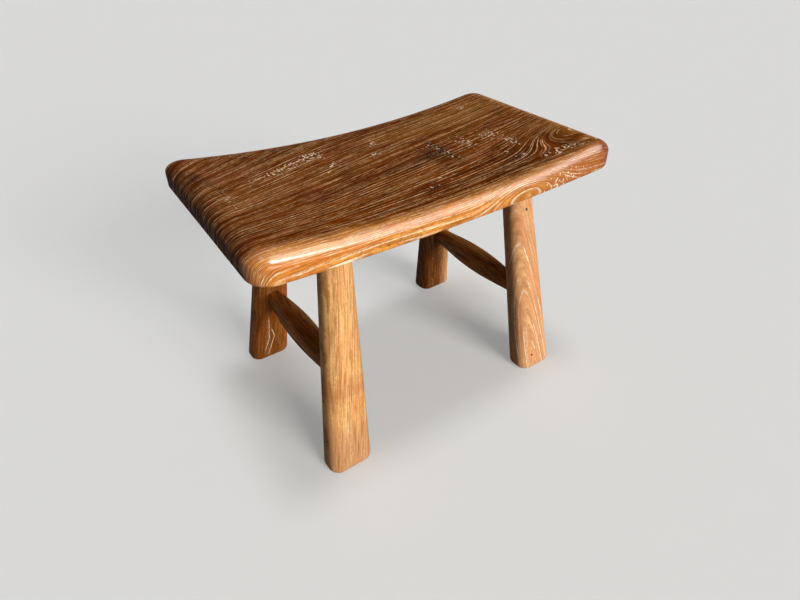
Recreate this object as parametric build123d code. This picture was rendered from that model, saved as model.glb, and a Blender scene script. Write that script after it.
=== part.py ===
from build123d import *

import os
from math import copysign, sqrt

# Saddle stool: a dished plank seat on four splayed, flaring legs, with a spindle stretcher at each end.
# The origin is on the floor under the middle of the seat, +X along the seat, +Y to the back, +Z up.
# Millimetres. Each leg ends in a blind tenon that a hidden wedge spreads inside its mortise. Each
# stretcher ends in blind tenons, which the two legs of its pair trap between them.

# Seat plank
SEAT_LENGTH = 620.0
SEAT_WIDTH = 352.0
SEAT_HEIGHT = 430.0  # floor to the ends of the dished top, before its edge is rounded
SEAT_DIP = 24.0  # how far the middle of the top lies below its ends
SEAT_END_THICKNESS = 44.0
SEAT_MIDDLE_THICKNESS = 29.0
SEAT_CORNER_RADIUS = 32.0  # in plan
SEAT_TOP_EDGE_RADIUS = 16.0
SEAT_BOTTOM_EDGE_RADIUS = 7.0

# Legs, measured at the sole and at the shoulder, where the leg's middle line meets the seat's underside
SHOULDER_FROM_END = 142.0  # middle of the shoulder from the seat's end
SHOULDER_FROM_SIDE = 79.0  # middle of the shoulder from the seat's long side
SPLAY_X = 40.0  # how much further out the sole's middle stands than the shoulder's
SPLAY_Y = 63.0
FOOT_WIDTH = 76.0  # along X
FOOT_DEPTH = 48.0  # along Y
SHOULDER_WIDTH = 44.5
SHOULDER_DEPTH = 43.0
LEG_CORNER_RADIUS = 17.0
SOLE_CHAMFER = 4.0
SCRIBE_ALLOWANCE = 12.0  # extra leg above the underside, cut away to fit its curve

# Leg tenon, its mortise in the seat, and the wedge that spreads it
LEG_TENON_WIDTH = 28.0  # along X, at the shoulder
LEG_TENON_DEPTH = 26.0  # along Y
MORTISE_COVER = 10.0  # wood left between the mortise floor and the dished top
WEDGE_SPREAD = 3.0  # how much wider the wedge makes the tenon at its end
KERF = 1.2  # saw cut that the wedge enters
KERF_ROOT_RISE = 4.0  # shoulder to the bottom of the saw cut
WEDGE_TIP_GAP = 2.0  # saw cut left empty under the wedge's thin end
GLUE_GAP = 0.1  # on each side of every tenon
END_GAP = 1.0  # from a tenon's end to its mortise floor

# Stretcher spindle
STRETCHER_HEIGHT = 157.0  # floor to its middle line
STRETCHER_MIDDLE_WIDTH = 41.0  # along X
STRETCHER_MIDDLE_DEPTH = 42.0  # along Z
STRETCHER_END_WIDTH = 26.0  # where its middle line meets the legs' middle lines
STRETCHER_END_DEPTH = 27.0
STRETCHER_ROUND_SHARE = 1.1  # the round blank's diameter over the distance between its flats
STRETCHER_BELLY_SHARE = 0.5  # how much of the length is round belly, between two straight tapers
STRETCHER_TENON_WIDTH = 15.0
STRETCHER_TENON_DEPTH = 18.0
STRETCHER_TENON_LENGTH = 24.0

TOP_ROUND_SHARE = 0.6  # the most of the plank's thinnest edge that the upper round may take
BOTTOM_ROUND_SHARE = 0.3
CORNER_ROUND_SHARE = 0.9  # the most of the corner's radius in plan that an edge round may take
LEG_ROUND_SHARE = 0.45  # the most of the shoulder's smaller side that the leg's corner may take
FACING_SHARE = 0.99  # how nearly a face looks along a direction, out of 1
CLIMBING_SHARE = 0.5  # how steeply a leg's long edge climbs at least, out of 1
FLAT_DIP = 0.01  # a hollow shallower than this is cut as a plane
CUT_OVERRUN = 5.0  # how far a cutting solid runs past what it cuts

SIDES = {"left": -1, "right": 1}
ROWS = {"front": -1, "back": 1}


def between(low, high, share):
    return low + (high - low) * share


def arc_drop(dip, x):
    """How far a round hollow of this dip over the seat's length lies below its ends, at x."""
    depth = abs(dip)
    if depth < FLAT_DIP:
        return 0.0
    radius = ((SEAT_LENGTH / 2) ** 2 + depth**2) / (2 * depth)
    return copysign(sqrt(radius**2 - x**2) - (radius - depth), dip)


def top_z(x):
    return SEAT_HEIGHT - arc_drop(SEAT_DIP, x)


def underside_z(x):
    dip = SEAT_DIP + SEAT_MIDDLE_THICKNESS - SEAT_END_THICKNESS
    return SEAT_HEIGHT - SEAT_END_THICKNESS - arc_drop(dip, x)


SHOULDER_OUT_X = SEAT_LENGTH / 2 - SHOULDER_FROM_END
SHOULDER_OUT_Y = SEAT_WIDTH / 2 - SHOULDER_FROM_SIDE
SHOULDER_Z = underside_z(SHOULDER_OUT_X)
MORTISE_FLOOR_Z = top_z(SHOULDER_OUT_X) - MORTISE_COVER
TENON_END_Z = MORTISE_FLOOR_Z - END_GAP
KERF_ROOT_Z = SHOULDER_Z + KERF_ROOT_RISE


def leg_middle(z):
    """A point on the middle line of the back right leg."""
    drop = 1 - z / SHOULDER_Z
    return Vector(SHOULDER_OUT_X + SPLAY_X * drop, SHOULDER_OUT_Y + SPLAY_Y * drop, z)


def leg_size(z):
    """The leg's width and depth at a height: wide at the foot and nearly square under the seat."""
    share = z / SHOULDER_Z
    return between(FOOT_WIDTH, SHOULDER_WIDTH, share), between(FOOT_DEPTH, SHOULDER_DEPTH, share)


def tenon_size(z, ease=0.0):
    """The spread tenon's width and depth at a height, or its mortise's with some ease on each side."""
    share = (z - SHOULDER_Z) / (TENON_END_Z - SHOULDER_Z)
    width = LEG_TENON_WIDTH + WEDGE_SPREAD * share
    return width + 2 * ease, LEG_TENON_DEPTH + 2 * ease


def kerf_size(z, ease=0.0):
    """The wedge's width and depth at a height, which the saw cut opens to, with some ease at its ends."""
    share = (z - KERF_ROOT_Z) / (TENON_END_Z - KERF_ROOT_Z)
    return KERF + WEDGE_SPREAD * share, LEG_TENON_DEPTH + 2 * ease


def column(size, low, high, **options):
    """The four-sided solid that follows the leg's middle line between two heights."""
    bottom, top = leg_middle(low), leg_middle(high)
    bottom_width, bottom_depth = size(low, **options)
    width, depth = size(high, **options)
    corner = Vector(bottom.X - bottom_width / 2, bottom.Y - bottom_depth / 2, low)
    lean_x, lean_y = top.X - width / 2 - corner.X, top.Y - depth / 2 - corner.Y
    top_range = (lean_y, lean_x, lean_y + depth, lean_x + width)
    solid = Wedge(bottom_depth, high - low, bottom_width, *top_range, align=None)
    return Plane(corner, x_dir=(0, 1, 0), z_dir=(1, 0, 0)) * solid


def edges_facing(shape, direction):
    """The edges round the face whose middle looks along a direction."""
    faces = shape.faces().filter_by(lambda face: face.normal_at().dot(direction) > FACING_SHARE)
    return faces[0].edges()


def seat_curve(ends_z, middle_z):
    """One long line of the seat's side view, from its left end to its right."""
    half = SEAT_LENGTH / 2
    left, middle, right = (-half, 0, ends_z), (0, 0, middle_z), (half, 0, ends_z)
    if abs(ends_z - middle_z) < FLAT_DIP:
        return Line(left, right)
    return ThreePointArc(left, middle, right)


def make_plank():
    """The seat before its mortises are cut: dished on top, gently bowed below, rounded all round."""
    top = seat_curve(SEAT_HEIGHT, top_z(0))
    underside = seat_curve(SEAT_HEIGHT - SEAT_END_THICKNESS, underside_z(0))
    ends = [Line(top @ 0, underside @ 0), Line(top @ 1, underside @ 1)]
    side_view = make_face([top, underside, *ends])
    plank = extrude(side_view, amount=SEAT_WIDTH / 2, both=True)
    plank = fillet(plank.edges().filter_by(Axis.Z), SEAT_CORNER_RADIUS)
    thinnest = min(SEAT_END_THICKNESS, SEAT_MIDDLE_THICKNESS)
    corner_limit = SEAT_CORNER_RADIUS * CORNER_ROUND_SHARE
    top_round = min(SEAT_TOP_EDGE_RADIUS, thinnest * TOP_ROUND_SHARE, corner_limit)
    bottom_round = min(SEAT_BOTTOM_EDGE_RADIUS, thinnest * BOTTOM_ROUND_SHARE, corner_limit)
    plank = fillet(edges_facing(plank, Vector(0, 0, 1)), top_round)
    return fillet(edges_facing(plank, Vector(0, 0, -1)), bottom_round)


def make_leg_blank(plank):
    """The back right leg without its joints, its top scribed to the seat's underside."""
    blank = column(leg_size, 0, SHOULDER_Z + SCRIBE_ALLOWANCE)
    long_edges = blank.edges().filter_by(lambda edge: abs(edge.tangent_at(0).Z) > CLIMBING_SHARE)
    limit = min(SHOULDER_WIDTH, SHOULDER_DEPTH) * LEG_ROUND_SHARE
    blank = fillet(long_edges, min(LEG_CORNER_RADIUS, limit))
    return chamfer(edges_facing(blank, Vector(0, 0, -1)), SOLE_CHAMFER) - plank


def stretcher_reach():
    """From the middle of a stretcher to the middle lines of its legs."""
    return leg_middle(STRETCHER_HEIGHT).Y


def stretcher_shoulder():
    """From the middle of a stretcher to the legs' inner faces, on its middle line."""
    return stretcher_reach() - leg_size(STRETCHER_HEIGHT)[1] / 2


def spindle_view(end, middle):
    """Half of a side view of the spindle along X: two straight tapers that run into a round belly."""
    reach = stretcher_reach()
    belly = reach * STRETCHER_BELLY_SHARE
    tangent_share = 2 * (1 - STRETCHER_BELLY_SHARE) / (2 - STRETCHER_BELLY_SHARE)
    belly_side = between(end, middle, tangent_share) / 2
    left_taper = Polyline((-belly, belly_side), (-reach, end / 2), (-reach, 0))
    right_taper = Polyline((reach, 0), (reach, end / 2), (belly, belly_side))
    arc = ThreePointArc((-belly, belly_side), (0, middle / 2), (belly, belly_side))
    return make_face([arc, left_taper, Line(left_taper @ 1, right_taper @ 0), right_taper])


def make_spindle():
    """A round spindle along Y, with a slight flat planed along each of its four sides."""
    round_sizes = [size * STRETCHER_ROUND_SHARE for size in (STRETCHER_END_DEPTH, STRETCHER_MIDDLE_DEPTH)]
    spindle = revolve(spindle_view(*round_sizes), Axis.X)
    plan = spindle_view(STRETCHER_END_WIDTH, STRETCHER_MIDDLE_WIDTH)
    side_view = Plane.XZ * spindle_view(STRETCHER_END_DEPTH, STRETCHER_MIDDLE_DEPTH)
    for view, across in ((plan, Plane.XZ), (side_view, Plane.XY)):
        half = extrude(view, amount=STRETCHER_MIDDLE_DEPTH + STRETCHER_MIDDLE_WIDTH, both=True)
        spindle = spindle & (half + mirror(half, across))
    return Rot(Z=90) * spindle


def stretcher_tenon(side_ease=0.0, end_ease=0.0):
    """The bar whose two ends are the right stretcher's tenons, or their mortises with some ease."""
    bar = Box(
        STRETCHER_TENON_WIDTH + 2 * side_ease,
        2 * (stretcher_shoulder() + STRETCHER_TENON_LENGTH + end_ease),
        STRETCHER_TENON_DEPTH + 2 * side_ease,
    )
    return Pos(leg_middle(STRETCHER_HEIGHT).X, 0, STRETCHER_HEIGHT) * bar


def make_stretcher(leg_blank):
    """The right stretcher: a swelling spindle scribed to its legs, with a tenon at each end."""
    spindle = Pos(leg_middle(STRETCHER_HEIGHT).X, 0, STRETCHER_HEIGHT) * make_spindle()
    spindle = spindle - leg_blank - mirror(leg_blank, Plane.XZ)
    return spindle + stretcher_tenon()


def make_leg(leg_blank):
    """The back right leg: its spread and slotted tenon on top, and the stretcher's mortise."""
    tenon = column(tenon_size, SHOULDER_Z - CUT_OVERRUN, TENON_END_Z)
    kerf = column(kerf_size, KERF_ROOT_Z, TENON_END_Z + CUT_OVERRUN, ease=CUT_OVERRUN)
    return leg_blank + tenon - kerf - stretcher_tenon(GLUE_GAP, END_GAP)


def make_wedge():
    """The back right leg's hidden wedge, held between the saw cut and the mortise floor."""
    return column(kerf_size, KERF_ROOT_Z + WEDGE_TIP_GAP, MORTISE_FLOOR_Z)


def placed(shape, side, row=1):
    """A piece of the back right corner, mirrored to another corner."""
    if side < 0:
        shape = mirror(shape, Plane.YZ)
    if row < 0:
        shape = mirror(shape, Plane.XZ)
    return shape


def make_seat(plank):
    """The plank with its four blind mortises, as wide at the floor as the spread tenons."""
    mortise = column(tenon_size, SHOULDER_Z - CUT_OVERRUN, MORTISE_FLOOR_Z, ease=GLUE_GAP)
    for side in SIDES.values():
        for row in ROWS.values():
            plank = plank - placed(mortise, side, row)
    return plank


def main():
    plank = make_plank()
    leg_blank = make_leg_blank(plank)
    leg = make_leg(leg_blank)
    stretcher = make_stretcher(leg_blank)
    wedge = make_wedge()
    nodes = {"seat": make_seat(plank)}
    for side_name, side in SIDES.items():
        nodes[f"stretcher_{side_name}"] = placed(stretcher, side)
        for row_name, row in ROWS.items():
            nodes[f"leg_{row_name}_{side_name}"] = placed(leg, side, row)
            nodes[f"tenon_wedge_{row_name}_{side_name}"] = placed(wedge, side, row)
    os.makedirs("parts", exist_ok=True)
    for name, shape in nodes.items():
        export_step(shape, f"parts/{name}.step")


main()
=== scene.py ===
"""A camel saddle stool of limed teak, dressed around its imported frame.

Lengths are in metres, and in millimetres in the tables of sizes, marks and grain that say so. X runs
along the seat, -Y is the front, and the floor is at Z = 0.
"""

import math

import bmesh
import bpy
import numpy as np
from bpy.props import FloatProperty, FloatVectorProperty, PointerProperty
from mathutils import Matrix, Vector, noise


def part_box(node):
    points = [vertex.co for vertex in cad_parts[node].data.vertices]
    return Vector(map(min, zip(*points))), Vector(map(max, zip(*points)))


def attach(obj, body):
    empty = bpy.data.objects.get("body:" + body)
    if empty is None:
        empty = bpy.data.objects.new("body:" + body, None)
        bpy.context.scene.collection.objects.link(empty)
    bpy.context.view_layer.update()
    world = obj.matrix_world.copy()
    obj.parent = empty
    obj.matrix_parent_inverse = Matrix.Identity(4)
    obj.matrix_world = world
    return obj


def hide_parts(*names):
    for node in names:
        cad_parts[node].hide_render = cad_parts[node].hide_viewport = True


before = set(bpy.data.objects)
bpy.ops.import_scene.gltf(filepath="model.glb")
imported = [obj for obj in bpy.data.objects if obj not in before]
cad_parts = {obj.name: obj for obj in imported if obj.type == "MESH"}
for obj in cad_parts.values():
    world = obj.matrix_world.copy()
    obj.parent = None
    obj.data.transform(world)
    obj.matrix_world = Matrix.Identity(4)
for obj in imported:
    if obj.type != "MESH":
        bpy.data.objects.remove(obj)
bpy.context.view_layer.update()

bl_info = {
    "name": "Camel saddle stool",
    "version": (1, 0, 0),
    "blender": (4, 5, 0),
    "location": "3D Viewport > Sidebar > Stool",
    "description": "Builds a hand-shaped saddle stool of limed teak on its packed frame",
    "category": "Add Mesh",
}

SEAT_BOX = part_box("seat")
MM = 0.001
QUARTER_TURN = math.pi / 2
HARD_EDGE = math.radians(50)  # edges sharper than this are not shaded smooth
WELD = 1e-6  # points nearer than this are one

# The corners of the stool: name, side along X, side along Y.
CORNERS = (
    ("front_left", -1, -1),
    ("front_right", 1, -1),
    ("back_left", -1, 1),
    ("back_right", 1, 1),
)


def srgb(red, green, blue):
    """A screen colour, 0 to 255, as the linear colour that renders as it."""
    def linear(level):
        share = level / 255
        return share / 12.92 if share <= 0.04045 else ((share + 0.055) / 1.055) ** 2.4
    return (linear(red), linear(green), linear(blue))


def length(label, note, size):
    """A property that holds a length, given in mm."""
    return FloatProperty(
        name=label, description=note, default=size * MM, min=0.0, unit="LENGTH", precision=4
    )


def colour(label, note, *levels):
    """A property that holds a colour, given as it shows on a screen, 0 to 255."""
    return FloatVectorProperty(
        name=label, description=note, subtype="COLOR", size=3, min=0.0, max=1.0, default=srgb(*levels)
    )


class StoolSizes(bpy.types.PropertyGroup):
    """The shape of the seat, the legs and the stretchers."""

    seat_height: length("Seat height", "Floor to the ends of the dished top", 430)
    seat_dip: length("Seat dip", "How far the top is hollowed in its middle", 24)
    end_thickness: length("End thickness", "Thickness of the plank at its ends", 44)
    middle_thickness: length("Middle thickness", "Thickness of the plank in its middle", 29)
    corner_radius: length("Corner radius", "Radius of the seat's corners in plan", 32)
    top_edge_depth: length("Top edge depth", "How far the soft upper edge runs down the side", 17)
    bottom_edge_radius: length("Bottom edge radius", "Radius of the seat's lower edge", 8)

    sole_x: length("Sole X", "Middle of a sole from the stool's middle, along X", 208)
    sole_y: length("Sole Y", "Middle of a sole from the stool's middle, along Y", 160)
    splay_x: length("Splay X", "How much further out the sole stands than the shoulder, along X", 40)
    splay_y: length("Splay Y", "How much further out the sole stands than the shoulder, along Y", 63)
    shoulder_z: length("Shoulder height", "Where a leg's middle line meets the seat", 379.64)
    foot_width: length("Foot width", "Leg's width at the floor", 76)
    foot_depth: length("Foot depth", "Leg's depth at the floor", 48)
    shoulder_width: length("Shoulder width", "Leg's width at the seat", 44.5)
    shoulder_depth: length("Shoulder depth", "Leg's depth at the seat", 43)
    leg_corner: length("Leg corner", "Radius of a leg's long corners", 19)
    sole_round: length("Sole rounding", "Radius round the edge of a sole", 8)
    tenon_width: length("Tenon width", "Leg tenon's width in the seat", 28)
    tenon_depth: length("Tenon depth", "Leg tenon's depth in the seat", 26)
    tenon_end_z: length("Tenon end", "Height of the end of a leg's tenon", 402)
    mortise_floor_z: length("Mortise floor", "Height of the floor of a leg's mortise", 403)

    stretcher_z: length("Stretcher height", "Height of a stretcher's middle line", 157)
    stretcher_middle: length("Stretcher middle", "Thickness of a stretcher at its belly", 41.5)
    stretcher_end: length("Stretcher end", "Thickness of a stretcher at its shoulders", 26.5)
    stretcher_tenon: length("Stretcher tenon", "Length of a stretcher's tenons", 24)
    tenon_thickness: length("Tenon thickness", "Thickness of a stretcher's tenons", 15)
    tenon_height: length("Tenon height", "Height of a stretcher's tenons", 18)
    joint_gap: length("Joint gap", "Room for glue round a tenon", 0.1)


class StoolFinish(bpy.types.PropertyGroup):
    """The colours of the stained, limed and varnished timber."""

    top_dark: colour("Top, dark", "Darker grain of the seat's stained top", 76, 29, 0)
    top_light: colour("Top, light", "Lighter grain of the seat's stained top", 146, 76, 8)
    # The rim's colours are partly real wear and partly painted light: paler where the light falls on the
    # seat's front rim.
    worn_lit_rim_dark: colour("Rim, dark", "Darker grain of the seat's worn rim", 178, 103, 36)
    worn_lit_rim_light: colour("Rim, light", "Lighter grain of the seat's worn rim", 232, 162, 76)
    front_left_dark: colour("Front left leg, dark", "Darker grain of this leg", 190, 132, 76)
    front_left_light: colour("Front left leg, light", "Lighter grain of this leg", 236, 186, 122)
    front_right_dark: colour("Front right leg, dark", "Darker grain of this leg", 190, 132, 86)
    front_right_light: colour("Front right leg, light", "Lighter grain of this leg", 228, 174, 122)
    back_left_dark: colour("Back left leg, dark", "Darker grain of this leg", 122, 62, 12)
    back_left_light: colour("Back left leg, light", "Lighter grain of this leg", 170, 100, 28)
    back_right_dark: colour("Back right leg, dark", "Darker grain of this leg", 96, 46, 8)
    back_right_light: colour("Back right leg, light", "Lighter grain of this leg", 140, 80, 26)
    stretcher_dark: colour("Stretchers, dark", "Darker grain of the stretchers", 150, 88, 32)
    stretcher_light: colour("Stretchers, light", "Lighter grain of the stretchers", 198, 128, 56)
    bare_dark: colour("Bare wood, dark", "Darker grain of the unstained wedges", 150, 108, 64)
    bare_light: colour("Bare wood, light", "Lighter grain of the unstained wedges", 196, 156, 104)
    lime: colour("Lime", "Lime left in the open grain of the stained top", 255, 206, 146)
    varnish: FloatProperty(
        name="Varnish", description="How much the worn rim shines", subtype="FACTOR", default=0.26, max=1.0
    )


class StoolStage(bpy.types.PropertyGroup):
    """The floor, the lamps and the camera."""

    floor_size: length("Floor size", "Half the width of the floor", 14000)
    paper: colour("Paper", "Colour of the pale background", 217, 217, 215)
    camera_distance: length("Camera distance", "Camera to the point it looks at", 1011)
    lens: FloatProperty(name="Lens", description="Focal length on a 36 mm sensor", default=24.475, min=1.0)


def between(low, high, share):
    """The value that lies a share of the way from low to high."""
    return low + (high - low) * share


def gridded_box(cells):
    """Starts a mesh as a unit box whose faces are divided into a grid of cells."""
    shape = bmesh.new()
    bmesh.ops.create_cube(shape, size=1.0)
    for axis, count in enumerate(cells):
        if count > 1:
            edges = [e for e in shape.edges if abs(e.verts[1].co[axis] - e.verts[0].co[axis]) > 0.5]
            bmesh.ops.subdivide_edges(shape, edges=edges, cuts=count - 1, use_grid_fill=True)
    return shape


def from_border(index, count):
    """How many grid lines a grid line lies in from the nearer border."""
    return min(index, count - index)


def grid_place(place, cells):
    """The three grid lines that a point of the gridded box lies on, and how far in it is in plan."""
    index = [round((place[axis] + 0.5) * cells[axis]) for axis in range(3)]
    return index, min(from_border(index[axis], cells[axis]) for axis in (0, 1))


def straight_place(index, count, zone, reach):
    """Places a grid line between the corner zones, evenly from -reach to reach."""
    return reach * (2 * (index - zone) / (count - 2 * zone) - 1)


def plan_place(index, cells, zone, half, radius, inset):
    """Where a grid point lies in plan, on the loop that runs inset from a rounded rectangle's outline."""
    near = [from_border(index[axis], cells[axis]) for axis in (0, 1)]
    side = [-1 if 2 * index[axis] < cells[axis] else 1 for axis in (0, 1)]
    if max(near) < zone:
        turn = QUARTER_TURN / 2 * (zone - max(near)) / (zone - min(near))
        out = [(radius - inset) * math.cos(turn), (radius - inset) * math.sin(turn)]
        if near[0] > near[1]:
            out.reverse()
        return [side[axis] * (half[axis] - radius + out[axis]) for axis in (0, 1)]
    place = []
    for axis in (0, 1):
        if near[axis] < zone:
            place.append(side[axis] * (half[axis] - inset))
        else:
            place.append(straight_place(index[axis], cells[axis], zone, half[axis] - radius))
    return place


def edge_curve(turn, reach, depth):
    """A point of a rounded edge, as its inset from the side and its distance from the flat face."""
    return reach * (1 - math.sin(turn)), depth * (1 - math.cos(turn))


def round_over(border, row, zone, radius, edge):
    """A grid point's inset and its distance from a flat face whose edge is rounded over.

    row counts grid lines from that face, and the plan's corners have the given zone and radius.
    The edge is its grid lines across the face, its rows down the side, the part of its turn that
    lies on the face, its reach and its depth.
    """
    across, rows, split, reach, depth = edge
    if row > rows or (row == 0 and border >= zone):
        return 0.0, 0.0
    if row:
        return edge_curve(between(split, QUARTER_TURN, row / rows), reach, depth)
    if border < across:
        return edge_curve(split * (1 - border / across), reach, depth)
    return between(reach, radius, (border - across) / (zone - across)), 0.0


def finish_mesh(shape, name):
    """Turns a bmesh into a smooth-shaded object with its place in its mesh."""
    bmesh.ops.remove_doubles(shape, verts=shape.verts, dist=WELD)
    bmesh.ops.recalc_face_normals(shape, faces=shape.faces)
    mesh = bpy.data.meshes.new(name)
    shape.to_mesh(mesh)
    shape.free()
    piece = bpy.data.objects.new(name, mesh)
    bpy.context.scene.collection.objects.link(piece)
    shade(mesh)
    return piece


def shade(mesh):
    """Shades a mesh smooth, except over its hard edges."""
    mesh.shade_smooth()
    mesh.set_sharp_from_angle(angle=HARD_EDGE)


def gathered(shapes):
    """One helper object that holds several closed shapes."""
    whole = bmesh.new()
    for shape in shapes:
        bmesh.ops.recalc_face_normals(shape, faces=shape.faces)
        part = bpy.data.meshes.new("part")
        shape.to_mesh(part)
        shape.free()
        whole.from_mesh(part)
        bpy.data.meshes.remove(part)
    return finish_mesh(whole, "helper")


def cut_and_join(piece, added, removed):
    """Joins closed shapes to a piece, then cuts others out of it."""
    helpers = []
    for operation, shapes in (("UNION", added), ("DIFFERENCE", removed)):
        if shapes:
            step = piece.modifiers.new(operation, "BOOLEAN")
            step.operation = operation
            step.solver = "EXACT"
            step.object = gathered(shapes)
            helpers.append(step.object)
    bpy.context.view_layer.update()
    shaped = bpy.data.meshes.new_from_object(piece.evaluated_get(bpy.context.evaluated_depsgraph_get()))
    piece.modifiers.clear()
    spent = [piece.data] + [helper.data for helper in helpers]
    piece.data = shaped
    for helper in helpers:
        bpy.data.objects.remove(helper)
    for mesh in spent:
        bpy.data.meshes.remove(mesh)
    shade(shaped)


def paint_patches(piece, name, patches):
    """Stores how strongly each point of a piece shows a mark, from a list of soft oval patches.

    A patch is its middle along X and Y, its reach along and across, its turn and its strength.
    """
    places = vertex_places(piece) / MM
    level = np.zeros(len(places))
    for x, y, reach, width, turn, strength in patches:
        turn = math.radians(turn)
        away_x, away_y = places[:, 0] - x, places[:, 1] - y
        along = (away_x * math.cos(turn) + away_y * math.sin(turn)) / reach
        across = (away_y * math.cos(turn) - away_x * math.sin(turn)) / width
        level = level + strength * np.exp(-(along**2 + across**2) / 2)
    store(piece, name, level)


def vertex_places(piece):
    """Every vertex of a piece, as rows of X, Y and Z."""
    places = np.empty(3 * len(piece.data.vertices), dtype=np.float32)
    piece.data.vertices.foreach_get("co", places)
    return places.reshape(-1, 3).astype(float)


def store(piece, name, level):
    """Stores one number for each vertex, which a material can read by name."""
    piece.data.attributes.new(name, "FLOAT", "POINT").data.foreach_set("value", level.astype(np.float32))


SEAT_CELLS = (196, 116, 16)
SEAT_ZONE = 12  # grid lines across the soft upper edge, and round each corner
SEAT_BOTTOM_ZONE = 4  # grid lines across the lower edge
SEAT_TOP_ROWS = 6  # grid lines down the upper edge's side
SEAT_BOTTOM_ROWS = 4  # grid lines up the lower edge's side
TOP_EDGE_SPLIT = math.radians(62)  # the part of the upper edge's turn that lies on the top
BOTTOM_EDGE_SPLIT = math.radians(45)
HAND_WAVE = 0.5 * MM  # how far the hand-planed top dips below true; the sides dip twice as far
TOP_WAVE = (90 * MM, 3.0)  # reach of the waves, and a number that sets their places
SIDE_WAVE = (130 * MM, 8.0)


def arc_drop(dip, x, half_span):
    """How far a shallow arc of the given dip lies below its ends at x."""
    if dip <= 0:
        return 0.0
    radius = (half_span**2 + dip**2) / (2 * dip)
    return math.sqrt(radius**2 - x**2) - (radius - dip)


class Plank:
    """The dished plank's top and underside, as the legs and the seat both meet them."""

    def __init__(self, sizes):
        low, high = SEAT_BOX
        self.half = ((high.x - low.x) / 2, (high.y - low.y) / 2)
        self.sizes = sizes

    def top(self, x):
        """Height of the top's surface."""
        return self.sizes.seat_height - arc_drop(self.sizes.seat_dip, x, self.half[0])

    def underside(self, x):
        """Height of the underside."""
        sizes = self.sizes
        rise = sizes.seat_dip - (sizes.end_thickness - sizes.middle_thickness)
        return sizes.seat_height - sizes.end_thickness - arc_drop(rise, x, self.half[0])


def hand_worked(place, reach, seed):
    """A number from 0 to 1 that wanders slowly over a surface, for wood that was shaped by hand."""
    return 0.5 + 0.5 * noise.noise(Vector((place.x / reach + seed, place.y / reach, place.z / reach)))


def seat_point(place, plank):
    """Moves one point of the gridded box to its place on the seat."""
    sizes = plank.sizes
    radius = sizes.corner_radius
    index, border = grid_place(place, SEAT_CELLS)
    row, rows_down = index[2], SEAT_CELLS[2] - index[2]
    top, bottom = sizes.top_edge_depth, sizes.bottom_edge_radius
    if rows_down <= SEAT_TOP_ROWS:
        edge = (SEAT_ZONE, SEAT_TOP_ROWS, TOP_EDGE_SPLIT, radius, top)
        inset, drop = round_over(border, rows_down, SEAT_ZONE, radius, edge)
    else:
        edge = (SEAT_BOTTOM_ZONE, SEAT_BOTTOM_ROWS, BOTTOM_EDGE_SPLIT, bottom, bottom)
        inset, drop = round_over(border, row, SEAT_ZONE, radius, edge)
    x, y = plan_place(index[:2], SEAT_CELLS, SEAT_ZONE, plank.half, radius, inset)
    if rows_down <= SEAT_TOP_ROWS:
        z = plank.top(x) - drop
    elif row <= SEAT_BOTTOM_ROWS:
        z = plank.underside(x) + drop
    else:
        share = (row - SEAT_BOTTOM_ROWS) / (SEAT_CELLS[2] - SEAT_TOP_ROWS - SEAT_BOTTOM_ROWS)
        z = between(plank.underside(x) + bottom, plank.top(x) - top, share)
    return Vector((x, y, z))


def wave_seat_point(place, plank):
    """Dips a seat point by hand-plane waviness, always into the wood and never on the underside."""
    share = (place.z - plank.underside(place.x)) / (plank.top(place.x) - plank.underside(place.x))
    share = min(1.0, max(0.0, share))
    dip = HAND_WAVE * share * hand_worked(place, *TOP_WAVE)
    side = HAND_WAVE * 2 * share * hand_worked(place, *SIDE_WAVE)
    shrink = [1 - side / half for half in plank.half]
    return Vector((place.x * shrink[0], place.y * shrink[1], place.z - dip))


# Soft patches of marks on the seat, in mm: middle along X and Y, reach along and across, turn in
# degrees, strength.
SEAT_MARKS = {}
SEAT_MARKS["flecks"] = (
    (-200, 46, 44, 9, 24, 0.75),
    (-140, 72, 34, 10, 24, 0.95),
    (-92, 92, 17, 15, 0, 1.0),
    (-84, 46, 16, 9, 20, 0.9),
    (-105, 20, 22, 7, 20, 0.6),
    (-270, -12, 8, 22, 0, 0.8),
    (-235, -30, 30, 8, 20, 0.45),
    (-10, 45, 24, 14, 20, 0.6),
    (10, 86, 9, 12, 0, 1.0),
    (140, 0, 120, 100, 0, 0.22),
    (68, 20, 16, 10, 20, 0.5),
    (88, -18, 5, 50, 0, 0.55),
    (102, -30, 16, 22, 0, 0.3),
    (136, -8, 9, 26, 0, 0.55),
    (176, -12, 16, 11, 0, 0.5),
    (195, -50, 9, 26, 0, 0.7),
    (158, -80, 16, 10, 30, 0.6),
    (168, -108, 12, 11, 0, 0.75),
    (210, -132, 24, 9, 0, 0.85),
    (258, -140, 22, 7, -20, 0.85),
    (25, -88, 26, 12, 0, 0.55),
    (-5, -108, 14, 9, 0, 0.6),
    (230, 116, 12, 8, 0, 0.9),
    (200, 20, 40, 20, 0, 0.4),
    (190, -178, 46, 7, 0, 0.9),
    (-45, -178, 30, 6, 0, 0.35),
    (-200, -172, 50, 8, 0, 0.12),
    (20, -172, 40, 7, 0, 0.4),
)
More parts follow.
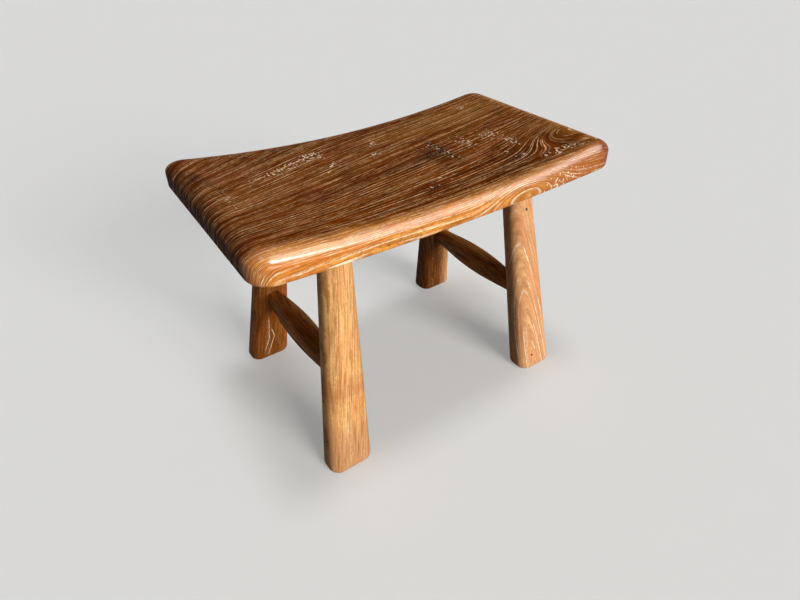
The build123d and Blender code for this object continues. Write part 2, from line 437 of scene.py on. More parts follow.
SEAT_MARKS["stain"] = (
    # The first patch darkens the seat's whole left end face: painted shade. The others are real stains.
    (-309, 10, 12, 190, 0, 0.8),
    (225, -174, 90, 14, 0, 0.6),
    (68, -10, 16, 26, 0, 0.75),
    (88, 5, 4, 34, 0, 0.8),
    (88, -55, 3, 26, 0, 0.4),
    (20, -18, 60, 9, 8, 0.45),
    (-2, -106, 18, 9, 0, 0.6),
    (166, -96, 24, 15, 20, 0.7),
    (-287, 78, 6, 17, 0, 0.7),
    (-276, 60, 7, 20, 10, 0.4),
    (258, 52, 12, 7, 0, 0.6),
    (-110, -38, 60, 8, 14, 0.4),
    (60, -120, 60, 12, 0, 0.3),
    (120, -128, 50, 12, 0, 0.35),
    (20, 130, 60, 18, 0, 0.4),
    (-160, 130, 60, 16, 20, 0.3),
    (255, -100, 14, 26, 20, 0.5),
    (302, -166, 20, 14, 0, 0.8),
)
SEAT_MARKS["paler"] = (
    (160, 100, 80, 26, 5, 0.65),
    (240, 80, 50, 34, 0, 0.5),
    (278, -84, 26, 22, 20, 0.75),
    (60, 90, 60, 22, 8, 0.3),
    (-250, -8, 50, 26, 20, 0.3),
    (-60, 20, 60, 16, 14, 0.25),
)
WORN_LIT_STARTS = 42 * MM  # how far in from the seat's side its paler rim begins: partly wear, partly painted light
WORN_LIT_FULL = 8 * MM
# How strongly the rim's paler look is painted at the seat's left and right ends, its front and its back:
# partly wear and partly painted light, strongest at the lit front and none at the shaded left end.
END_WEAR_AND_LIGHT = (0.0, 0.6)
SIDE_WEAR_AND_LIGHT = (1.0, 0.5)
UNDERSIDE_WEAR = 0.4


def paint_wear_and_light(seat, plank):
    """Stores how worn each point of the seat is, with painted light mixed in: most at the lit front of its
    rim, least at its shaded left end.
    """
    places = vertex_places(seat)
    level = np.zeros(len(places))
    for axis, amounts in ((0, END_WEAR_AND_LIGHT), (1, SIDE_WEAR_AND_LIGHT)):
        for side, amount in zip((-1, 1), amounts):
            inset = plank.half[axis] - side * places[:, axis]
            rim = 1.0 - np.clip((inset - WORN_LIT_FULL) / (WORN_LIT_STARTS - WORN_LIT_FULL), 0.0, 1.0)
            level = np.maximum(level, amount * rim)
    below = places[:, 2] < plank.underside(0.0) + plank.sizes.bottom_edge_radius
    store(seat, "wear", np.where(below, np.maximum(level, UNDERSIDE_WEAR), level))


def make_seat(sizes):
    """The dished, round-edged seat with its four blind mortises."""
    plank = Plank(sizes)
    shape = gridded_box(SEAT_CELLS)
    for vert in shape.verts:
        vert.co = wave_seat_point(seat_point(vert.co, plank), plank)
    seat = finish_mesh(shape, "seat_dished_plank")
    mortises = []
    for corner, side_x, side_y in CORNERS:
        leg = Leg(sizes, side_x, side_y)
        hole = leg.tenon_half(sizes.joint_gap)
        mortises.append(leg.prism(hole, -MORTISE_CLEARANCE, sizes.mortise_floor_z))
    cut_and_join(seat, [], mortises)
    for name, patches in SEAT_MARKS.items():
        paint_patches(seat, name, patches)
    paint_wear_and_light(seat, plank)
    return seat


MORTISE_CLEARANCE = 12 * MM  # how far the mortises' cutters start below the shoulder
TENON_ROOT = 10 * MM  # how far a tenon's bar starts below the shoulder
KERF_GROWTH = 1.03  # size of a kerf beside that of the wedge in it
LEG_CELLS = (20, 16, 126)
LEG_ZONE = 6  # grid lines round each long corner
SOLE_ZONE = 3  # grid lines across the rounded edge of a sole
SOLE_ROWS = 3  # grid lines up that edge


class Leg:
    """One splayed leg: its middle line and its section at every height."""

    def __init__(self, sizes, side_x, side_y):
        self.sizes = sizes
        self.side = (side_x, side_y)
        self.plank = Plank(sizes)

    def share(self, z):
        """How far up the leg a height lies, from the sole to the shoulder."""
        return z / self.sizes.shoulder_z

    def middle(self, z):
        """The leg's middle line."""
        sizes = self.sizes
        share = self.share(z)
        return Vector((
            self.side[0] * (sizes.sole_x - sizes.splay_x * share),
            self.side[1] * (sizes.sole_y - sizes.splay_y * share),
            z,
        ))

    def half(self, z):
        """Half of the leg's width and depth."""
        sizes = self.sizes
        share = self.share(z)
        return (
            between(sizes.foot_width, sizes.shoulder_width, share) / 2,
            between(sizes.foot_depth, sizes.shoulder_depth, share) / 2,
        )

    def tenon_half(self, ease=0.0):
        """Half of the tenon's width and depth, with some room round it."""
        return (self.sizes.tenon_width / 2 + ease, self.sizes.tenon_depth / 2 + ease)

    def prism(self, half, below, top):
        """A plain bar along the middle line, from below the shoulder up to a height."""
        bottom = self.sizes.shoulder_z + below
        shape = gridded_box((1, 1, 1))
        for vert in shape.verts:
            middle = self.middle(between(bottom, top, vert.co.z + 0.5))
            vert.co = middle + Vector((2 * half[0] * vert.co.x, 2 * half[1] * vert.co.y, 0.0))
        return shape

    def point(self, place):
        """Moves one point of the gridded box to its place on the leg."""
        sizes = self.sizes
        index, border = grid_place(place, LEG_CELLS)
        radius = sizes.leg_corner
        row, rows = index[2], LEG_CELLS[2]
        edge = (SOLE_ZONE, SOLE_ROWS, QUARTER_TURN / 2, sizes.sole_round, sizes.sole_round)
        inset, rise = round_over(border, row, LEG_ZONE, radius, edge)
        if row > SOLE_ROWS:
            rise = between(sizes.sole_round, sizes.shoulder_z, (row - SOLE_ROWS) / (rows - SOLE_ROWS))
        if row == rows:
            inset = radius * border / LEG_ZONE
        across = plan_place(index[:2], LEG_CELLS, LEG_ZONE, self.half(rise), radius, inset)
        x = self.middle(rise).x + across[0]
        z = rise * between(1.0, self.plank.underside(x) / sizes.shoulder_z, self.share(rise))
        across = plan_place(index[:2], LEG_CELLS, LEG_ZONE, self.half(z), radius, inset)
        return self.middle(z) + Vector((across[0], across[1], 0.0))


def wedge_cutter(node, grow):
    """A slightly larger copy of a hidden wedge, which saws the kerf it sits in."""
    shape = bmesh.new()
    shape.from_mesh(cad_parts[node].data)
    bmesh.ops.remove_doubles(shape, verts=shape.verts, dist=WELD)
    middle = sum((vert.co for vert in shape.verts), Vector()) / len(shape.verts)
    to_middle = Matrix.Translation(-middle)
    bmesh.ops.scale(shape, vec=(grow, grow, grow), space=to_middle, verts=shape.verts)
    return shape


def stretcher_bar(sizes, side_x, ease, past):
    """The bar whose two ends are a stretcher's tenons, or their mortises with some ease."""
    leg = Leg(sizes, side_x, 1)
    middle = leg.middle(sizes.stretcher_z)
    reach = middle.y - leg.half(sizes.stretcher_z)[1] + sizes.stretcher_tenon + past
    shape = gridded_box((1, 1, 1))
    bmesh.ops.scale(
        shape,
        vec=(sizes.tenon_thickness + 2 * ease, 2 * reach, sizes.tenon_height + 2 * ease),
        verts=shape.verts,
    )
    bmesh.ops.translate(shape, vec=(middle.x, 0.0, sizes.stretcher_z), verts=shape.verts)
    return shape


# Small nail holes: leg, side looked at from, height, place across that side, in mm.
NAIL_HOLES = (
    ("front_left", "left", 126, 2),
    ("front_left", "left", 55, -3),
    ("front_right", "front", 327, -1),
    ("front_right", "front", 31, -13),
)
NAIL_HOLE_RADIUS = 1.9 * MM
NAIL_HOLE_DEPTH = 8 * MM


def nail_hole(leg, side, height, across):
    """A short round cutter that enters one face of a leg."""
    z, offset = height * MM, across * MM
    middle, half = leg.middle(z), leg.half(z)
    shape = bmesh.new()
    bmesh.ops.create_cone(
        shape, cap_ends=True, segments=16, depth=2 * NAIL_HOLE_DEPTH,
        radius1=NAIL_HOLE_RADIUS, radius2=NAIL_HOLE_RADIUS,
    )
    if side == "front":
        turn = Matrix.Rotation(QUARTER_TURN, 4, "X")
        face = Vector((middle.x + offset, middle.y - half[1], z))
    else:
        turn = Matrix.Rotation(QUARTER_TURN, 4, "Y")
        face = Vector((middle.x - half[0], middle.y + offset, z))
    bmesh.ops.transform(shape, matrix=Matrix.Translation(face) @ turn, verts=shape.verts)
    return shape


def make_leg(sizes, corner, side_x, side_y):
    """One leg with its kerfed tenon, its stretcher's mortise and its nail holes."""
    leg = Leg(sizes, side_x, side_y)
    shape = gridded_box(LEG_CELLS)
    for vert in shape.verts:
        vert.co = leg.point(vert.co)
    piece = finish_mesh(shape, "leg_shaped_" + corner)
    removed = [
        wedge_cutter("tenon_wedge_" + corner, KERF_GROWTH),
        stretcher_bar(sizes, side_x, sizes.joint_gap, sizes.joint_gap),
    ]
    for name, side, height, across in NAIL_HOLES:
        if name == corner:
            removed.append(nail_hole(leg, side, height, across))
    cut_and_join(piece, [leg.prism(leg.tenon_half(), -TENON_ROOT, sizes.tenon_end_z)], removed)
    return piece


STRETCHER_CELLS = (12, 12, 84)
STRETCHER_ZONE = 5  # grid lines round each rounded corner
BELLY_SHARE = 0.5  # share of a spindle's half length over which its belly is round
ROUND_SHARE = 0.72  # radius of a spindle's corners, as a share of half its thickness
AT_END = 0.999  # share of the way out past which a point lies on an end face
RING_TURN = (0.8, 0.6)  # which way the stretchers' growth rings lie, along X and Z


def spindle_half(share, end, middle):
    """Half of a spindle's thickness: a straight taper that runs into a round belly."""
    tangent = 2 * (1 - BELLY_SHARE) / (2 - BELLY_SHARE)
    taper_end = between(end, middle, tangent)
    if share >= BELLY_SHARE:
        return between(taper_end, end, (share - BELLY_SHARE) / (1 - BELLY_SHARE)) / 2
    return between(middle, taper_end, (share / BELLY_SHARE) ** 2) / 2


def make_stretcher(sizes, name, side_x):
    """A swelling spindle scribed to its two legs, with a tenon at each end."""
    leg = Leg(sizes, side_x, 1)
    middle = leg.middle(sizes.stretcher_z)
    shape = gridded_box(STRETCHER_CELLS)
    for vert in shape.verts:
        index, border = grid_place(vert.co, STRETCHER_CELLS)
        along = 2 * vert.co.z
        half = spindle_half(abs(along), sizes.stretcher_end, sizes.stretcher_middle)
        radius = half * ROUND_SHARE
        inset = radius * border / STRETCHER_ZONE if abs(along) > AT_END else 0.0
        across = plan_place(index[:2], STRETCHER_CELLS, STRETCHER_ZONE, (half, half), radius, inset)
        z = sizes.stretcher_z + across[1]
        face = leg.middle(z).y - leg.half(z)[1]
        vert.co = Vector((middle.x + across[0], -along * face, z))
    piece = finish_mesh(shape, "stretcher_spindle_" + name)
    cut_and_join(piece, [stretcher_bar(sizes, side_x, 0.0, 0.0)], [])
    return piece


BARE_GLOSS = 0.0  # bare wood has no gloss of its own: only the varnish shines
VARNISH_ROUGHNESS = 0.22


def math_node(operation):
    """A method that adds one Math node, whose first input is the number itself."""
    def method(self, *others):
        values = {place: value for place, value in enumerate((self,) + others)}
        return self.graph.add("ShaderNodeMath", {"operation": operation}, values).value()
    return method


class Value:
    """A number socket that adds Math nodes when it is used in sums."""

    def __init__(self, graph, socket):
        self.graph = graph
        self.socket = socket

    __add__ = __radd__ = math_node("ADD")
    __sub__ = math_node("SUBTRACT")
    __mul__ = __rmul__ = math_node("MULTIPLY")
    __truediv__ = math_node("DIVIDE")
    absolute = math_node("ABSOLUTE")
    floor = math_node("FLOOR")
    fraction = math_node("FRACT")
    exponent = math_node("EXPONENT")
    root = math_node("SQRT")
    least = math_node("MINIMUM")
    most = math_node("MAXIMUM")

    def __rsub__(self, other):
        return self.graph.number(other) - self

    def __neg__(self):
        return self * -1.0

    def at_least(self, low):
        """Squeezes a mask from 0 to 1 into low to 1."""
        return self * (1.0 - low) + low

    def step(self, low, high):
        """Rises smoothly from 0 at low to 1 at high; low may be the larger."""
        settings = {"interpolation_type": "SMOOTHSTEP", "clamp": True}
        sockets = {"Value": self, "From Min": low, "From Max": high}
        return self.graph.add("ShaderNodeMapRange", settings, sockets).value("Result")


class Added:
    """A node that was just added, for its outputs."""

    def __init__(self, graph, node):
        self.graph = graph
        self.node = node

    def out(self, name=0):
        """An output socket, by its name or number."""
        return self.node.outputs[name]

    def value(self, name=0):
        """An output as a number that can be used in sums."""
        return Value(self.graph, self.out(name))


class Graph:
    """The node tree of one material or world."""

    def __init__(self, owner):
        self.owner = owner
        owner.use_nodes = True
        self.tree = owner.node_tree
        self.tree.nodes.clear()

    def put(self, socket, value):
        """Sets a socket to a plain value, or links it."""
        if isinstance(value, Value):
            value = value.socket
        if isinstance(value, bpy.types.NodeSocket):
            self.tree.links.new(value, socket)
        elif socket.type == "RGBA" and len(value) == 3:
            socket.default_value = (*value, 1.0)
        else:
            socket.default_value = value

    def add(self, kind, settings=None, sockets=None):
        """Adds any node: its type, its settings, then its sockets' values or links."""
        node = self.tree.nodes.new(kind)
        for name, value in (settings or {}).items():
            setattr(node, name, value)
        for name, value in (sockets or {}).items():
            if isinstance(name, str):
                socket = next(s for s in node.inputs if s.name == name and s.enabled)
            else:
                socket = node.inputs[name]
            self.put(socket, value)
        return Added(self, node)

    def number(self, value):
        """A plain number as the start of a sum."""
        return Value(self, self.add("ShaderNodeMath", {"operation": "ADD"}, {0: value, 1: 0.0}).out())

    def vector(self, x, y, z):
        """Three numbers as one vector."""
        return self.add("ShaderNodeCombineXYZ", None, {"X": x, "Y": y, "Z": z}).out()

    def mix(self, share, low, high):
        """A colour a share of the way between two colours, each three numbers or a socket."""
        settings = {"data_type": "RGBA", "clamp_factor": True}
        return self.add("ShaderNodeMix", settings, {"Factor": share, "A": low, "B": high}).out("Result")

    def attribute(self, name):
        """A number stored for each vertex of the piece."""
        return self.add("ShaderNodeAttribute", {"attribute_name": name}).value("Fac")

    def noise(self, vector, detail=2.0, roughness=0.5):
        """Smooth noise from 0 to 1 over a vector."""
        sockets = {"Vector": vector, "Scale": 1.0, "Detail": detail, "Roughness": roughness}
        return self.add("ShaderNodeTexNoise", {"noise_dimensions": "3D"}, sockets).value(0)

    def line_noise(self, place, detail):
        """Smooth noise from 0 to 1 along a single number."""
        sockets = {"W": place, "Scale": 1.0, "Detail": detail}
        return self.add("ShaderNodeTexNoise", {"noise_dimensions": "1D"}, sockets).value(0)

    def chance(self, place):
        """A random number from 0 to 1 for each whole number."""
        return self.add("ShaderNodeTexWhiteNoise", {"noise_dimensions": "1D"}, {"W": place}).value(0)

    def place_mm(self):
        """Object coordinates in millimetres, as three numbers."""
        coordinates = self.add("ShaderNodeTexCoord").out("Object")
        split = self.add("ShaderNodeSeparateXYZ", None, {"Vector": coordinates})
        return [split.value(axis) * 1000.0 for axis in ("X", "Y", "Z")]

    def finish(self, colour, roughness, height, depth, varnish):
        """Joins colour, roughness, fine relief and varnish in the surface's shader."""
        bump = self.add("ShaderNodeBump", None, {"Height": height, "Strength": 1.0, "Distance": depth * MM})
        sockets = {
            "Base Color": colour,
            "Roughness": roughness,
            "Normal": bump.out(),
            "Specular IOR Level": BARE_GLOSS,
            "Coat Weight": varnish,
            "Coat Roughness": VARNISH_ROUGHNESS,
        }
        shader = self.add("ShaderNodeBsdfPrincipled", None, sockets)
        self.add("ShaderNodeOutputMaterial", None, {"Surface": shader.out()})
        return self.owner

    def seen(self):
        """1 for the rays that look, straight or by reflection, and 0 for those that carry light."""
        rays = self.add("ShaderNodeLightPath")
        looks = [rays.value(name) for name in ("Is Camera Ray", "Is Glossy Ray", "Is Transmission Ray")]
        return (looks[0] + looks[1] + looks[2]).least(1.0)


class Figure:
    """Coordinates that follow the timber: along the grain, across it and through it, in mm."""

    def __init__(self, along, across, through):
        self.along = along
        self.across = across
        self.through = through

    def vector(self, graph, along, across, through, seed=0.0):
        """The coordinates as a vector, each divided by the length of one unit of pattern."""
        return graph.vector(self.along / along + seed, self.across / across, self.through / through)


# The noises that make up the timber: reach along the grain, across it and through it in mm, what
# is added to the seed, octaves of detail, how rough these are, and between which levels a mask
# made of it rises.
TIMBER_NOISES = {
    "cloud": ((130.0, 30.0, 30.0), 0.0, 2.5, 0.5, None),
    "streak": ((60.0, 2.4, 30.0), 0.0, 1.5, 0.6, None),
    "mottle": ((5.5, 2.8, 12.0), 0.0, 2.0, 0.8, None),
    "warmth": ((90.0, 22.0, 22.0), 5.0, 1.5, 0.5, (0.42, 0.66)),
    "pores": ((45.0, 2.2, 30.0), 3.0, 1.0, 0.5, (0.52, 0.62)),
    "bundles": ((110.0, 13.0, 20.0), 2.0, 1.5, 0.5, (0.34, 0.60)),
    "grit": ((5.5, 2.2, 12.0), 0.0, 1.5, 0.5, (0.40, 0.58)),
    "patches": ((30.0, 7.0, 30.0), 13.0, 1.0, 0.5, (0.40, 0.60)),
}
BAND_WEIGHT = 1.3  # how much the growth bands count beside the slow clouds of tone
TONE_EDGES = (-0.6, 0.6)  # tones at which the grain is wholly dark and wholly light
LINE_REACH = 70.0  # how far a lime line runs before it may break, in mm
FINE_REACH = 34.0  # the same for the fine lines
LINE_DEPTH = 30.0  # how deep in the timber a line lies before it changes, in mm
LINE_ENDS = (0.38, 0.50)  # levels of noise between which a broken line ends
LINE_SHIFT = 0.6  # how far a line strays from its even place, as a share of the spacing
LINE_CORE = 0.3  # share of a line's width at which it is full
SECOND_CHANCE = 0.37  # added to a line's number for a chance that differs from its first
WANDER_STRETCH = 4  # how much longer than wide the bends of the grain are
FINE_SHARE = 0.95  # share of the fine lines that show
FINE_SHIFT = 19.0  # added to the seed, so that fine lines lie elsewhere than the others
BAND_SHIFT = 3.1  # how far the bands move with each unit of the seed
LIME_IN_STAIN_AND_SHADE = 0.55  # how much lime is left where the wood is stained through, and where the seat's left end is painted in shade
# Least share of lime outside its bundles and patches, between grains of grit, and there on bold lines.
LEAST_BUNDLE, LEAST_PATCH, LEAST_GRIT, LEAST_BOLD_GRIT = 0.4, 0.5, 0.4, 0.5
PALER_MOTTLE, PALER_BASE = 0.8, 0.5  # how the mottle breaks up a paler patch
STAIN_AND_SHADE_BASE = 0.45  # how strong a stain, and the painted shade on the seat's left end, is between the streaks
# how dark the painted shade in and round the nail holes is
NAIL_SHADE_STRENGTH = 0.85
# How high streaks stand in the fine relief, and how deep lime, pores and flecks lie.
STREAK_HEIGHT, LIME_DEPTH, PORE_DEPTH, FLECK_DEPTH = 0.3, 0.6, 0.3, 0.5
# The timber's roughness, what streaks and lime add to it, and how much varnish the lime hides.
ROUGHNESS, STREAK_ROUGHNESS, LIME_ROUGHNESS, LIME_HIDES = 0.35, 0.10, 0.22, 0.7


def timber_noise(graph, figure, seed, reach, shift, detail, roughness, edges):
    """One of the timber's noises, or the mask made of it, along a grain figure."""
    level = graph.noise(figure.vector(graph, *reach, seed + shift), detail, roughness)
    return level.step(*edges) if edges else level


def wander(graph, figure, reach, amount, seed):
    """Bends the grain across by a slow noise."""
    shift = graph.noise(figure.vector(graph, WANDER_STRETCH * reach, reach, reach, seed), detail=1.5) - 0.5
    return Figure(figure.along, figure.across + shift * (2 * amount), figure.through)


def lime_lines(graph, figure, spacing, width, reach, share, seed):
    """Narrow pale lines along the grain, of uneven strength and spacing, broken along their length."""
    place = figure.across / spacing + seed
    line = place.floor()
    offset = (graph.chance(line + SECOND_CHANCE) - 0.5) * LINE_SHIFT
    away = (place.fraction() - 0.5 - offset).absolute() * spacing
    strength = graph.chance(line).step(1.0 - share, 1.0)
    ends = graph.noise(figure.vector(graph, reach, spacing, LINE_DEPTH, seed), detail=1.5).step(*LINE_ENDS)
    return away.step(width, width * LINE_CORE) * strength * ends


def ground_colour(graph, figure, look, marks, noises):
    """The stained ground: its dark and light grain, warm areas, paler areas, stains and pores. The stain
    mark also paints shade on the seat's left end, and the paler mark paints light on the back right leg's
    right side.
    """
    bands = graph.line_noise(figure.across / look["band"] + look["seed"] * BAND_SHIFT, detail=3.0)
    tone = ((bands - 0.5) * BAND_WEIGHT + (noises["cloud"] - 0.5)) * look["band_contrast"]
    for name in ("streak", "mottle"):
        tone = tone + (noises[name] - 0.5) * look[name + "_contrast"]
    colour = graph.mix(tone.step(*TONE_EDGES), look["deep"], look["light"])
    colour = graph.mix(noises["warmth"] * look["warmth"], colour, look["warm"])
    if "paler" in marks:
        paler = marks["paler"] * (noises["mottle"] * PALER_MOTTLE + PALER_BASE)
        colour = graph.mix(paler, colour, look["bleached"])
    # Stains, and the painted shade on the seat's left end.
    if "stain" in marks:
        colour = graph.mix(marks["stain"] * (noises["streak"] + STAIN_AND_SHADE_BASE), colour, look["stained_and_shaded"])
    return graph.mix(noises["pores"] * look["pore_strength"], colour, look["pore"])


def lime_cover(graph, figure, look, marks, noises):
    """How much lime sits in the grain: separate lines, fine lines between them and bold ones."""
    seed = look["seed"]
    lines = lime_lines(graph, figure, look["spacing"], look["line"], LINE_REACH, look["limed"], seed)
    lines = lines * look["line_strength"] * noises["bundles"].at_least(LEAST_BUNDLE)
    fine = lime_lines(
        graph, figure, look["fine_spacing"], look["fine_line"], FINE_REACH, FINE_SHARE, seed + FINE_SHIFT
    )
    fine = fine * noises["patches"].at_least(LEAST_PATCH) * look["fine_strength"]
    lime = lines.most(fine) * noises["grit"].at_least(LEAST_GRIT)
    # Less lime shows in stains, which also darkens the painted shade on the seat's left end.
    if "stain" in marks:
        lime = lime * (1.0 - marks["stain"].least(1.0) * (1.0 - LIME_IN_STAIN_AND_SHADE))
    if "bold" in marks:
        lime = lime.most(marks["bold"] * noises["grit"].at_least(LEAST_BOLD_GRIT))
    return lime.least(1.0)


def limed_timber(graph, figure, look, marks):
    """Colour, roughness and relief of stained, limed and varnished teak along a grain figure.

    marks holds any of these masks: flecks, stains (on the seat's left end, painted shade), paler areas (on
    the back right leg, painted light), bold lines, and painted shade in the nail holes.
    """
    seed = look["seed"]
    figure = wander(graph, figure, look["wander_reach"], look["wander"], seed)
    noises = {name: timber_noise(graph, figure, seed, *row) for name, row in TIMBER_NOISES.items()}
    lime = lime_cover(graph, figure, look, marks, noises)
    colour = graph.mix(lime, ground_colour(graph, figure, look, marks, noises), look["lime"])
    height = noises["streak"] * STREAK_HEIGHT - lime * LIME_DEPTH - noises["pores"] * PORE_DEPTH
    if "flecks" in marks:
        colour = graph.mix(marks["flecks"], colour, look["fleck"])
        height = height - marks["flecks"] * FLECK_DEPTH
    # Painted shade in and round the nail holes.
    if "nail_shade" in marks:
        colour = graph.mix(marks["nail_shade"] * NAIL_SHADE_STRENGTH, colour, look["nail_shade_colour"])
    roughness = ROUGHNESS + noises["streak"] * STREAK_ROUGHNESS + lime * LIME_ROUGHNESS
    varnish = look["varnish"] * (1.0 - lime * LIME_HIDES)
    return graph.finish(colour, roughness, height, look["relief"], varnish)


# How the timber looks where a piece says nothing else. Lengths are in mm.
BASE_LOOK = {
    "wander_reach": 42.0,
    "wander": 2.5,
    "seed": 1.0,
    "band": 9.0,
    "band_contrast": 0.4,
    "streak_contrast": 1.6,
    "mottle_contrast": 2.3,
    "warm": srgb(126, 50, 10),
    "warmth": 0.6,
    "pore": srgb(50, 14, 4),
    "pore_strength": 0.7,
    "spacing": 7.0,
    "line": 1.2,
    "limed": 0.75,
    "line_strength": 1.25,
    "fine_strength": 1.1,
    "fine_spacing": 2.7,
    "fine_line": 0.75,
    # The stain colour; on the seat's left end it paints shade.
    "stained_and_shaded": srgb(48, 14, 2),
    "bleached": srgb(144, 88, 26),
    "fleck": srgb(240, 218, 184),
    # Painted shade in the nail holes.
    "nail_shade_colour": srgb(44, 24, 12),
    "relief": 0.12,
    "varnish": 0.12,
}
# The paler, redder look of the seat's worn rim and sides: partly real wear, partly painted light where the
# light falls on the front.
WORN_LIT_RIM_LOOK = {
    "warm": srgb(200, 112, 44),
    "stained_and_shaded": srgb(126, 56, 22),
    "bleached": srgb(220, 164, 96),
    "lime": srgb(255, 236, 200),
    "pore": srgb(146, 80, 34),
    "pore_strength": 0.5,
    "streak_contrast": 2.3,
}

# The seat's grain flow: how far a grain line has risen at a place, as a sum of powers of the
# place along and across the seat. Each row is the two powers and an amount in mm.
GRAIN_RISE = (
    (1, 0, 64.65),
    (2, 0, -40.57),
    (1, 1, 31.27),
    (2, 1, -28.02),
    (3, 0, 20.15),
    (1, 2, -46.62),
    (2, 2, 8.14),
    (3, 1, 12.35),
)
GRAIN_LEAN = 0.6  # how much the growth layers lean through the plank's thickness
GRAIN_REACH = (310.0, 176.0)  # the places along and across at which those powers reach 1, in mm
GRAIN_HEIGHT = 420.0  # height at which the grain lines are drawn

# Knots that the grain bends round: middle, reach each way, and lift, in mm.
KNOTS = (
    ((290.0, -84.0, 425.0), (56.0, 26.0, 60.0), 54.0),
    ((118.0, -188.0, 399.0), (46.0, 24.0, 24.0), 34.0),
)


def hill(place, middle, reach):
    """A smooth hill, 1 at its middle, over one or more coordinates."""
    shares = [(value - centre) / (size * math.sqrt(2)) for value, centre, size in zip(place, middle, reach)]
    return (-sum(share * share for share in shares)).exponent()


def seat_figure(x, y, z):
    """The plank's grain: fanning lines that flow along the seat and swirl round its knots."""
    along = x / GRAIN_REACH[0]
    across = (y / GRAIN_REACH[1]).least(1.0).most(-1.0)
    rise = 0.0
    for power_x, power_y, amount in GRAIN_RISE:
        term = along * amount
        for _ in range(power_x - 1):
            term = term * along
        for _ in range(power_y):
            term = term * across
        rise = term + rise
    figure = y - rise + (z - GRAIN_HEIGHT) * GRAIN_LEAN
    for middle, reach, lift in KNOTS:
        figure = figure - hill((x, y, z), middle, reach) * lift
    return Figure(x, figure, z - y * GRAIN_LEAN)


# The flecks follow the middle level of a curling noise, are cut short by a second one, and a third
# picks which are there. Each: reach along and across in mm, an offset, detail.
FLECK_CURLS = (9.0, 11.0, (0.0, 0.0), 0.6)
FLECK_PIECES = (4.5, 5.5, (40.0, 0.0), 0.0)
FLECK_LUCK = (6.0, 6.0, (0.0, 9.0), 1.0)
FLECK_WIDTH = (0.11, 0.04)  # how far from that level a fleck ends and is full
FLECK_CUTS = (0.50, 0.56)  # levels of the second noise between which a fleck starts
FLECK_EDGES = (0.0, 0.10)  # how far a patch has to beat the third noise for flecks to start and be full
FLECK_SHARE = 0.72  # how much of a patch's strength counts in that


def fleck_noise(graph, x, y, reach_x, reach_y, offset, detail):
    """One of the noises that shape the flecks."""
    return graph.noise(graph.vector(x / reach_x + offset[0], y / reach_y, offset[1]), detail)


def fleck_shapes(graph, x, y, patches):
    """Short squiggly lime flecks, more of them where a patch is stronger."""
    curls = (fleck_noise(graph, x, y, *FLECK_CURLS) - 0.5).absolute().step(*FLECK_WIDTH)
    pieces = fleck_noise(graph, x, y, *FLECK_PIECES).step(*FLECK_CUTS)
    luck = fleck_noise(graph, x, y, *FLECK_LUCK)
    return curls * pieces * (patches * FLECK_SHARE - luck).step(*FLECK_EDGES)


def timber_look(finish, part, changes):
    """The base look with a part's own dark and light grain, and what else is its own."""
    look = dict(BASE_LOOK, lime=tuple(finish.lime))
    look["deep"] = tuple(getattr(finish, part + "_dark"))
    look["light"] = tuple(getattr(finish, part + "_light"))
    look.update(changes)
    return look


RIM_EDGE = (40.0, 14.0, 14.0)  # reach of the waves in the edge of the worn, painted-lit rim, along X, Y and Z in mm
RIM_WAVER = 0.5  # how much those waves add to the wear and painted light, or take from them
RIM_WORN_AND_LIT = (0.15, 0.85)  # wear and painted light at which the rim's look starts and is full
TOP_VARNISH = 0.05  # what is left of the varnish on the unworn top


def seat_material(finish):
    """Dark stained top with dense lime lines, a knot whorl and scattered flecks, and a paler rim that is
    partly worn and partly painted light.
    """
    graph = Graph(bpy.data.materials.new("limed_teak_seat"))
    x, y, z = graph.place_mm()
    waves = graph.vector(*(place / reach for place, reach in zip((x, y, z), RIM_EDGE)))
    # How far the rim's paler look reaches here: partly wear, partly painted light.
    worn_and_lit = (graph.attribute("wear") + (graph.noise(waves) - 0.5) * RIM_WAVER).step(*RIM_WORN_AND_LIT)
    look = timber_look(finish, "top", {"varnish": worn_and_lit * finish.varnish + TOP_VARNISH})
    worn_lit_look = dict(WORN_LIT_RIM_LOOK, deep=tuple(finish.worn_lit_rim_dark), light=tuple(finish.worn_lit_rim_light))
    for part, rim in worn_lit_look.items():
        if isinstance(rim, tuple):
            look[part] = graph.mix(worn_and_lit, look[part], rim)
        else:
            look[part] = worn_and_lit * (rim - look[part]) + look[part]
    marks = {name: graph.attribute(name) for name in SEAT_MARKS}
    marks["flecks"] = fleck_shapes(graph, x, y + z, marks["flecks"])
    return limed_timber(graph, seat_figure(x, y, z), look, marks)


# Each leg's pith: how far it lies from the leg's middle line across its front, and behind its front
# face, at the floor; how far both drift for each mm of height; and how fast rings pass in depth.
LEG_PITHS = {
    "front_left": (-150.0, 30.0, 0.05, 0.0, 0.5),
    "front_right": (-5.5, 5.0, -0.10, 0.107, 0.45),
    "back_left": (-120.0, 20.0, 0.03, 0.0, 0.5),
    "back_right": (120.0, 30.0, -0.05, 0.0, 0.5),
}

